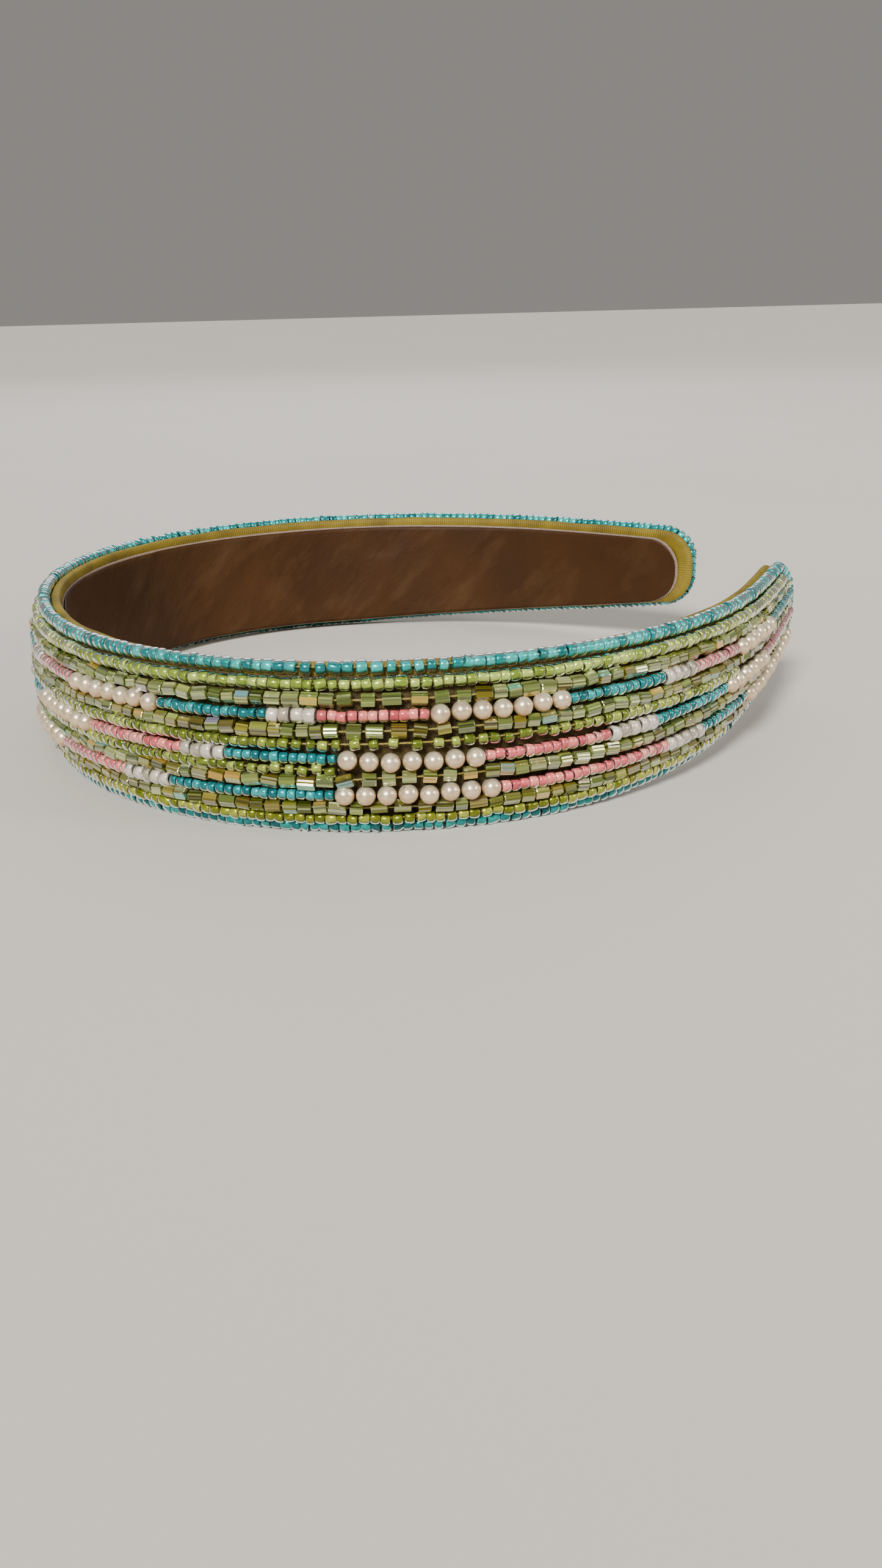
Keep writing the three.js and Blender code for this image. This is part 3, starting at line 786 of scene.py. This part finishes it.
def buckled_lining():
    """How far the lining buckles, in millimetres: a cloth simulation of a sheet that is a little
    longer than the inside of the bend it is glued to, held round its edge."""
    lengths = np.linspace(-ARM_LENGTH, ARM_LENGTH, SIM_ROWS) * SIM_SCALE
    widths = np.linspace(0, BAND_WIDTH, SIM_COLUMNS) * SIM_SCALE
    grid = np.stack(np.broadcast_arrays(lengths[:, None], widths[None, :], 0.0), -1).reshape(-1, 3)
    chance = np.random.default_rng(SEED + 1)
    slack = chance.normal(0, 0.004, len(grid))
    slack += 0.01 * np.sin(grid[:, 0] * 1.3 + grid[:, 1] * 1.9)
    sheet = make_object("lining_sheet", grid / MM, [grid_faces(SIM_ROWS, SIM_COLUMNS)], None)
    r, c = np.divmod(np.arange(len(grid)), SIM_COLUMNS)
    held = (r == 0) | (r == SIM_ROWS - 1) | (c == 0) | (c == SIM_COLUMNS - 1)
    start = grid.copy()
    start[:, 2] = np.where(held, 0.0, slack)
    sheet.data.vertices.foreach_set("co", start.astype(np.float32).ravel())
    sheet.vertex_groups.new(name="held").add([int(i) for i in np.flatnonzero(held)], 1.0, "ADD")
    cloth = sheet.modifiers.new("cloth", "CLOTH")
    cloth.settings.vertex_group_mass = "held"
    cloth.settings.shrink_min = -SIM_STRETCH
    cloth.settings.bending_stiffness = 1.5
    cloth.settings.quality = 6
    cloth.settings.effector_weights.gravity = 0.0
    cloth.point_cache.frame_end = SIM_FRAMES
    scene = bpy.context.scene
    for step in range(1, SIM_FRAMES + 1):
        scene.frame_set(step)
    settled = sheet.evaluated_get(bpy.context.evaluated_depsgraph_get()).to_mesh()
    place = np.empty(len(grid) * 3, np.float32)
    settled.vertices.foreach_get("co", place)
    scene.frame_set(1)
    bpy.data.objects.remove(sheet)
    rise = place.reshape(-1, 3)[:, 2].reshape(SIM_ROWS, SIM_COLUMNS) / SIM_SCALE
    return MOST_BUCKLE * np.tanh(rise / MOST_BUCKLE)


def lining_face():
    """How far out the leather's outer face is: its buckles, with slanted creases drawn over them."""
    buckle = buckled_lining()

    def face(arc, z):
        low = lower_edge(arc) + BOTTOM_INSET
        share = (z - low) / (BAND_WIDTH - TOP_INSET - low)
        r = np.clip((arc / ARM_LENGTH + 1) / 2 * (SIM_ROWS - 1), 0, SIM_ROWS - 1.001)
        c = np.clip(share * (SIM_COLUMNS - 1), 0, SIM_COLUMNS - 1.001)
        r0, c0 = r.astype(int), c.astype(int)
        tr, tc = r - r0, c - c0
        near = buckle[r0, c0] * (1 - tc) + buckle[r0, c0 + 1] * tc
        far = buckle[r0 + 1, c0] * (1 - tc) + buckle[r0 + 1, c0 + 1] * tc
        edge = smooth(0.0, 0.12, share) * smooth(0.0, 0.12, 1 - share)
        slope = (arc + 1.5 * z) / 8.0 + 1.2 * np.sin(arc / 19.0) + 0.5 * np.sin(z / 4.0)
        crease = -CREASE_DEPTH * np.exp(-(np.sin(slope) / 0.2) ** 2)
        where = 0.3 + 0.7 * smooth(35, 80, -arc) * smooth(0, 40, 170 + arc)
        swell = (near * (1 - tr) + far * tr + crease * where) * edge
        # Only what rises towards the head is kept, so the leather never sinks into its base.
        return LEATHER_OUT + ((swell - np.sqrt(swell**2 + 0.03**2)) / 2 + 0.015)

    return face


def declare_sheet(piece):
    """Works out how large the sheet was cut, a long strip that narrows towards both tips; the sizes
    are not used.
    """
    inset_top, inset_bottom, inset_tip, _ = LAYER_INSETS[piece.name]
    widest = BAND_WIDTH - TOP_INSET - BOTTOM_INSET - inset_top - inset_bottom
    arcs = np.linspace(inset_tip - ARM_LENGTH, ARM_LENGTH - inset_tip, 400)
    length = float(arcs[-1] - arcs[0])
    area = float(np.mean(widest - lower_edge(arcs))) * length


def build_layers():
    def flat(out):
        return lambda arc, z: np.full(np.shape(z), out)

    def domed(drop):
        return lambda arc, z: bead_height(arc, z) - drop

    plastic = plain_finish("core_plastic_skin", (0.7, 0.66, 0.58), (0.8, 0.77, 0.7), 0.4)
    core = layer_piece("spring_core_strip", plastic, flat(CORE_OUT), CORE_THICKNESS)
    settle(core, "core_plastic", "spring_core")
    cells = plain_finish("foam_cells", (0.7, 0.65, 0.5), (0.85, 0.8, 0.66), 0.95, 2500.0, 0.0003)
    foam = layer_piece("foam_pad", cells, domed(FOAM_DROP), underside=FOAM_UNDERSIDE)
    settle(foam, "foam", "foam_padding")
    backing = layer_piece("backing_cloth_cover", backing_weave(), domed(CLOTH_DROP),
                          BACKING_THICKNESS)
    settle(backing, "backing_cloth", "backing_cloth")
    declare_sheet(backing)
    pale = plain_finish("lining_base_weave", (0.24, 0.17, 0.13), (0.34, 0.25, 0.2), 0.9, 1500.0,
                        0.0001)
    base = layer_piece("lining_base_cloth", pale, flat(BASE_OUT), BASE_THICKNESS)
    settle(base, "lining_base", "lining_base")
    declare_sheet(base)
    lining = layer_piece("leather_lining_skin", lining_leather(), lining_face(),
                         LEATHER_THICKNESS)
    settle(lining, "lining_leather", "leather_lining")
    declare_sheet(lining)


# ==== the shapes of single beads
def seed_shape():
    """A rounded glass bead of unit length and radius, with a round hole."""
    angles = np.linspace(-math.pi / 2, math.pi / 2, 11)[1:-1]
    power = 2 / SEED_SQUARENESS
    along = 0.5 * np.sign(np.sin(angles)) * np.abs(np.sin(angles)) ** power
    rim = SEED_HOLE + (1 - SEED_HOLE) * SEED_RIM
    radii = rim + (1 - rim) * np.abs(np.cos(angles)) ** power
    side = zip(along, radii, strict=True)
    return lathe([(-0.48, SEED_HOLE), *side, (0.48, SEED_HOLE)], SEED_SIDES)


def lining_shape():
    """A bead's lining, of unit length and radius: a tube with rounded ends."""
    profile = [(-0.5, 0.6), (-0.5, 0.85), (-0.4, 1.0), (0.4, 1.0), (0.5, 0.85), (0.5, 0.6)]
    return lathe(profile, LINING_SIDES)


def hex_shape():
    """A cut tube of unit length and radius, with six flat, faintly fluted sides and a hole."""
    profile = [(-0.5, HEX_HOLE), (-0.5, 0.93), (-0.45, 1.0), (0.45, 1.0), (0.5, 0.93),
               (0.5, HEX_HOLE)]
    points, faces = lathe(profile, FACETS)
    side = math.pi / 3
    within = np.arctan2(points[:, 2], points[:, 1]) % side - side / 2
    wide = np.hypot(points[:, 1], points[:, 2]) > HEX_HOLE * 1.2
    across = math.cos(side / 2) / np.cos(within)
    flute = 1 + 0.012 * (-1.0) ** (np.arange(len(points)) % FACETS)
    points[:, 1:] *= np.where(wide, across * flute, 1.0)[:, None]
    return points, faces


# ==== threads
def strand(path, radius):
    """A thin round strand along a path of points in millimetres."""
    path = np.asarray(path, float)
    ahead = np.gradient(path, axis=0)
    ahead /= np.linalg.norm(ahead, axis=1)[:, None]
    side = np.cross(ahead, [0.0, 0.3, 1.0])
    side /= np.linalg.norm(side, axis=1)[:, None]
    up = np.cross(side, ahead)
    angle = (np.arange(STRAND_SIDES) * 2 * math.pi / STRAND_SIDES)[:, None]
    round_it = np.cos(angle) * side[:, None, :] + np.sin(angle) * up[:, None, :]
    points = (path[:, None, :] + radius * round_it).reshape(-1, 3)
    cap = np.array([[3, 2, 1, 0], [5, 4, 3, 0]])
    far = cap[:, ::-1] + (len(path) - 1) * STRAND_SIDES
    return points, np.concatenate([grid_faces(len(path), STRAND_SIDES, False, True), cap, far])


def join_strands(name, strands, material, finish, *nodes):
    points, faces, count = [], [], 0
    for some_points, some_faces in strands:
        points.append(some_points)
        faces.append(some_faces + count)
        count += len(some_points)
    piece = make_object(name, np.concatenate(points), faces, material)
    fix_normals(piece)
    settle(piece, finish, *nodes)


def row_thread(row, start, end, gaps):
    """The thread through a row's beads, and stitches down to the cloth in its gaps."""
    arcs = np.linspace(start, end, int((end - start) / 1.1))
    z, out = row_point(row, arcs)
    strands = [strand(band_point(arcs, out, z), THREAD_RADIUS)]
    for arc in gaps:
        z, out = row_point(row, np.array([arc]))
        slant = rng.uniform(-0.25, 0.25)
        steps = np.linspace(0, 1, 4)
        stitch = band_point(arc + slant * steps, out - steps * (CLOTH_DROP - 0.02), z - 0.5 * steps)
        strands.append(strand(stitch, STITCH_RADIUS))
    return strands


def loose_loop():
    """A loop of clear thread that has worked loose over the third hex row."""
    turn = np.linspace(-0.9, 4.4, 26)
    middle = SHORT_ROW_END + 0.4
    z, out = row_point("third_hex_row", np.array([middle]))
    rise = np.sin(np.linspace(0, math.pi, len(turn)))
    path = band_point(middle + 1.8 * np.sin(turn), out + 0.7 + 0.75 * rise,
                      z + 1.15 * np.cos(turn) + 0.35 * np.sin(turn))
    clear = clear_glass("clear_thread", (0.9, 0.93, 0.8), 0.2)
    join_strands("loose_thread_loop", [strand(path, LOOP_RADIUS)], clear, "hex_glass",
                 "third_hex_row")


# ==== rows of seed beads
def uneven_arcs(start, end, pitch, spread, loose):
    """Arcs and lengths of the beads along a row, with the middles of its wider gaps."""
    arcs, lengths, gaps = [], [], []
    arc = start
    while arc < end - pitch / 2:
        long = pitch * (1 + rng.uniform(-spread, spread))
        if rng.uniform() < 0.05:
            long *= 1.3
        gap = 0.02 * pitch
        for low, high, extra in loose:
            if low < arc < high:
                gap += max(0.0, rng.normal(extra, extra * 0.6))
        arcs.append(arc + long / 2)
        lengths.append(long)
        arc += long + gap
        if gap > WIDE_GAP:
            gaps.append(arc - gap / 2)
    return arcs, lengths, gaps


class GlassSeeds:
    """Clear beads together with the coloured linings inside them.

    share is how much of a bead's width its lining fills near the loosely strung front.
    """

    def __init__(self, glass, core, share):
        self.glass, self.core, self.share = glass, core, share
        self.shells, self.linings = Beads(), Beads()
        self.shell, self.lining = seed_shape(), lining_shape()

    def add(self, arc, out, z, length, wide, lean):
        self.shells.add(self.shell, arc, out, z, (length, wide, wide), lean)
        away = smooth(20, 55, abs(arc - LOOSE_MIDDLE))
        share = self.share + (FULL_SHARE - self.share) * away
        inner = wide * share * rng.uniform(0.96, 1.03)
        self.linings.add(self.lining, arc, out, z, (length * LINING_LENGTH, inner, inner), lean)

    def build(self, name, finish, *nodes):
        """The glass casts no shadow, so the light reaches the linings and the cloth."""
        shells = self.shells.build(name, self.glass)
        shells.visible_shadow = False
        settle(shells, finish, *nodes)
        settle(self.linings.build(name + "_linings", self.core), finish, *nodes)


def seed_row(kind, glasses, thread):
    row = f"{kind}_row"
    plan = {**USUAL_ROW, **SEED_ROWS[kind]}
    tip = row_end(row)
    start, end = plan.get("ends", (-tip, tip))
    tilt = plan["tilt"]
    beads = GlassSeeds(*glasses[kind], plan["share"])
    arcs, lengths, gaps = uneven_arcs(start, end, plan["pitch"], plan["spread"], plan["loose"])
    for arc, length in zip(arcs, lengths, strict=True):
        z, out = row_point(row, arc)
        wide = plan["radius"] * (1 + rng.uniform(-0.08, 0.06))
        slack = any(low < arc < high for low, high, _ in plan["loose"])
        wander = ROW_DRIFT * (1.8 if slack else 1.0)
        up = rng.normal(0, wander * 0.6)
        if kind == "top_teal":
            up = -abs(up) * 0.6
        elif kind == "bottom_teal":
            up = abs(up) * 0.6
        outward = abs(rng.normal(0, wander * 0.5))
        lean = (rng.normal(0, tilt), rng.normal(0, tilt), rng.uniform(0, ROLL))
        beads.add(arc, out + outward, z + up, length, wide, lean)
    beads.build(f"{kind}_seeds", plan["finish"], row)
    join_strands(f"{kind}_thread", row_thread(row, start, end, gaps), thread, plan["finish"], row)


def tip_path(side):
    """Places for the beads round a tip: (arc, z, how far the row has turned downwards)."""
    centre = ARM_LENGTH - TIP_ROW_INSET - ROW_TURN
    high = BAND_WIDTH - EDGE_ROW_HEIGHT - ROW_TURN
    low = TIP_RISE + EDGE_ROW_HEIGHT + ROW_TURN
    quarter = ROW_TURN * math.pi / 2
    whole = 2 * quarter + high - low
    for travel in (np.arange(TIP_BEADS) + 0.5) * whole / TIP_BEADS:
        if travel < quarter:
            turn, z = travel / ROW_TURN, high
        elif travel < quarter + high - low:
            turn, z = math.pi / 2, high - (travel - quarter)
        else:
            turn, z = (travel - (high - low)) / ROW_TURN, low
        arc = centre + ROW_TURN * math.sin(turn)
        yield side * arc, z + ROW_TURN * math.cos(turn), side * turn


def tip_rows(glass, core):
    for side, word in ((1, "front"), (-1, "rear")):
        beads = GlassSeeds(glass, core, TIP_SHARE)
        for arc, z, turn in tip_path(side):
            out = float(bead_height(np.array(arc), z)) - EDGE_ROW_SINK
            wide = TIP_BEAD_RADIUS * (1 + rng.uniform(-0.07, 0.05))
            lean = (turn + rng.normal(0, 0.06), rng.normal(0, 0.06), rng.uniform(0, ROLL))
            beads.add(arc, out, z, TIP_BEAD_LENGTH * rng.uniform(0.9, 1.05), wide, lean)
        beads.build(f"{word}_tip_teal_seeds", "teal_glass", f"{word}_tip_teal_row")


# ==== hex-cut beads
def facet_colours_and_glints(olive):
    """The colour of each strip round one hex-cut bead, with painted glints and painted shade in some
    strips; half of the beads get their coating's painted coloured reflection on one side.
    """
    bodies = OLIVE if rng.uniform() < olive else SAGE
    body = np.array(bodies[rng.integers(len(bodies))])
    # Each side and strip is lighter or darker at random: partly the glass's own tone, partly a
    # painted reflection of facets that catch the light differently.
    sides = np.repeat(rng.uniform(0.7, 1.35, (6, 1)), SIDE_STRIPS, axis=0)
    tints = body * sides * rng.uniform(0.55, 1.5, (FACETS, 1))
    # Painted shade: a few strips are darkened, as where the dark hole shows through the glass.
    # Painted glints: a few strips are paled, as facets catching the light.
    streaks = rng.uniform(0, 1, FACETS)
    tints[streaks < 0.14] *= 0.4
    tints[streaks > 0.86] = tints[streaks > 0.86] * 0.4 + PAINTED_GLINT * 0.6
    # Painted reflection: on half of the beads, one side gets its iridescent coating's coloured flash
    # painted in.
    if rng.uniform() < 0.5:
        first = rng.integers(6) * SIDE_STRIPS
        flash = np.array(FLASHES[rng.integers(len(FLASHES))])
        for strip in range(first, first + SIDE_STRIPS):
            strength = rng.uniform(0.3, 0.95)
            tints[strip] = tints[strip] * (1 - strength) + flash * strength
    return tints


def hex_row(row, glass, thread):
    beads = Beads()
    cut = hex_shape()
    bands = len(cut[1]) // FACETS
    colours, gaps = [], []
    end = row_end(row)
    arc = -end
    while arc < end - 1.2:
        length = rng.choice(HEX_LENGTHS) + rng.uniform(-0.1, 0.1)
        sparse = HEX_SPARSE[0] < arc < HEX_SPARSE[1]
        z, out = row_point(row, arc + length / 2)
        wide = HEX_RADIUS * (1 + rng.uniform(-0.06, 0.06))
        lower = 0.06 + 0.25 * smooth(CONVERGE_ARC, ARM_LENGTH, abs(arc))
        swing = rng.normal(0, 0.14 if sparse else 0.07)
        lean = (swing, rng.normal(0, 0.05), rng.uniform(0, ROLL))
        size = (length, wide, wide)
        beads.add(cut, arc + length / 2, out - lower, z + rng.normal(0, 0.08), size, lean)
        colours.append(np.tile(facet_colours_and_glints(HEX_ROWS[row]), (bands, 1)))
        gap = max(0.0, rng.normal(0.7, 0.3)) if sparse else abs(rng.normal(0.06, 0.16))
        arc += length + 0.04 + gap
        if gap > WIDE_GAP:
            gaps.append(arc - gap / 2)
    piece = beads.build(row.replace("_row", "_beads"), glass)
    mesh = piece.data
    mesh.polygons.foreach_set("use_smooth", np.zeros(len(mesh.polygons), bool))
    tint = mesh.attributes.new("facet_tint", "FLOAT_COLOR", "CORNER")
    per_corner = np.repeat(np.concatenate(colours), 4, axis=0)
    rgba = np.concatenate([np.clip(per_corner, 0, 1), np.ones((len(per_corner), 1))], 1)
    tint.data.foreach_set("color", rgba.astype(np.float32).ravel())
    settle(piece, "hex_glass", row)
    join_strands(row.replace("_row", "_thread"), row_thread(row, -end, end, gaps), thread,
                 "hex_glass", row)


# ==== the patterned stripes
def strung(runs, start, end):
    """(kind, arc) for the beads of runs, strung from start as far as there is room before end."""
    ahead = math.copysign(1, end - start)
    arc = start
    for kind, count in runs:
        for _ in range(count):
            if abs(end - arc) < BEAD_PITCH[kind]:
                return
            yield kind, arc + ahead * BEAD_PITCH[kind] / 2
            arc += ahead * BEAD_PITCH[kind]


def stripe_beads(row):
    """(kind, arc) for every bead of a stripe, from one tip to the other."""
    start, end = STRIPES[row]["start"], row_end(row)
    rear = strung(itertools.cycle(STRIPES[row]["cycle"][::-1]), start, -end)
    return [*list(rear)[::-1], *strung(STRIPES[row]["front"], start, end)]


def node_names(row, kind):
    return [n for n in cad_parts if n.startswith(f"{row}_{kind}_")]


def stripe(row, pearl, glasses):
    pearls = Beads()
    round_pearl = ball(PEARL_RINGS, PEARL_SIDES)
    lined = {kind: GlassSeeds(*glasses[kind], share) for kind, share in STRIPE_SHARES.items()}
    for kind, arc in stripe_beads(row):
        z, out = row_point(row, arc)
        if kind == "pearl":
            size = BEAD_RADIUS[kind] * (1 + rng.uniform(-0.02, 0.015))
            place = (arc, out + PEARL_LIFT + rng.uniform(-0.04, 0.08), z + rng.normal(0, 0.09))
            pearls.add(round_pearl, *place, (size, size, size), tuple(rng.uniform(0, ROLL, 3)))
            continue
        length = BEAD_PITCH[kind] * rng.uniform(0.9, 1.02)
        size = BEAD_RADIUS[kind] * (1 + rng.uniform(-0.08, 0.07))
        place = (arc + rng.normal(0, 0.04), out + abs(rng.normal(0, 0.05)), z + rng.normal(0, 0.05))
        lean = (rng.normal(0, 0.08), rng.normal(0, 0.08), rng.uniform(0, ROLL))
        lined[kind].add(*place, length, size, lean)
    settle(pearls.build(f"{row}_pearl_beads", pearl), "pearl", *node_names(row, "pearls"))
    for kind, beads in lined.items():
        beads.build(f"{row}_{kind}_seeds", "stripe_seeds", *node_names(row, "seeds"))


def bead_glasses():
    """The clear glass and the coloured lining of each kind of seed bead."""
    clears = {name: clear_glass(name, *look) for name, look in CLEAR_GLASSES.items()}
    cores = {name: lined_core(name, *look) for name, look in LININGS.items()}
    return {kind: (clears[clear], cores[core]) for kind, (clear, core) in GLASS_PAIRS.items()}


def build_beads():
    """All the rows. The order matters, because every row draws on the same random numbers."""
    glasses = bead_glasses()
    thread = plain_finish("gold_thread", (0.2, 0.15, 0.02), (0.42, 0.34, 0.08), 0.6, 3000.0,
                          0.00004)
    seed_row("top_teal", glasses, thread)
    tip_rows(*glasses["top_teal"])
    seed_row("lime", glasses, thread)
    cut_glass = hex_glass()
    for row in HEX_ROWS:
        hex_row(row, cut_glass, thread)
    loose_loop()
    for kind in ("green", "short_green", "gold_green", "bottom_teal"):
        seed_row(kind, glasses, thread)
    pearl = pearl_coat()
    for row in STRIPES:
        stripe(row, pearl, glasses)


# ==== the set
def build_floor():
    half = FLOOR_HALF
    mesh = bpy.data.meshes.new("floor")
    mesh.from_pydata([(-half, -half, 0), (half, -half, 0), (half, half, 0), (-half, half, 0)], [],
                     [(0, 1, 2, 3)])
    finish = Finish("floor_finish", {"Roughness": 0.7})
    tone = finish.noise(finish.place(), 6.0, 2.0)
    finish.colour(finish.ramp(tone, [(0.3, (0.7, 0.67, 0.62)), (0.7, (0.72, 0.69, 0.645))]))
    mesh.materials.append(finish.material)
    floor = bpy.data.objects.new("floor", mesh)
    bpy.context.scene.collection.objects.link(floor)


def add_lamp(name, kind, power, colour, direction):
    light = bpy.data.lights.new(name, kind)
    light.energy = power
    light.color = colour
    lamp = bpy.data.objects.new(name, light)
    lamp.rotation_euler = Vector(direction).to_track_quat("-Z", "Y").to_euler()
    bpy.context.scene.collection.objects.link(lamp)
    return lamp


def build_light():
    sun = add_lamp("key_light", "SUN", 4.2, (1.0, 0.97, 0.92), SUN_DIRECTION)
    sun.data.angle = SUN_ANGLE
    for name, (place, size, power, colour) in SOFT_LIGHTS.items():
        lamp = add_lamp(name, "AREA", power, colour, Vector(LIGHT_TARGET) - Vector(place))
        lamp.location = place
        lamp.data.shape = "DISK"
        lamp.data.size = size
    world = bpy.data.worlds.new("studio")
    world.use_nodes = True
    sky = world.node_tree.nodes["Background"]
    sky.inputs["Color"].default_value = SKY_COLOUR
    sky.inputs["Strength"].default_value = SKY_STRENGTH
    bpy.context.scene.world = world


def build_camera():
    data = bpy.data.cameras.new("camera")
    data.sensor_width = 36.0
    data.lens = CAMERA_LENS
    data.clip_start = 0.01
    camera = bpy.data.objects.new("camera", data)
    x, y, z = CAMERA_PLACE
    place = Matrix.Translation(Vector((x + CROWN_X, y + CENTRE_Y, z)) * MM)
    yaw = Matrix.Rotation(-CAMERA_YAW, 4, "Z")
    pitch = Matrix.Rotation(math.pi / 2 - CAMERA_PITCH, 4, "X")
    camera.matrix_world = place @ yaw @ pitch @ Matrix.Rotation(CAMERA_ROLL, 4, "Z")
    bpy.context.scene.collection.objects.link(camera)
    bpy.context.scene.camera = camera


build_camera()
build_floor()
build_light()
edge_binding()
build_layers()
build_beads()
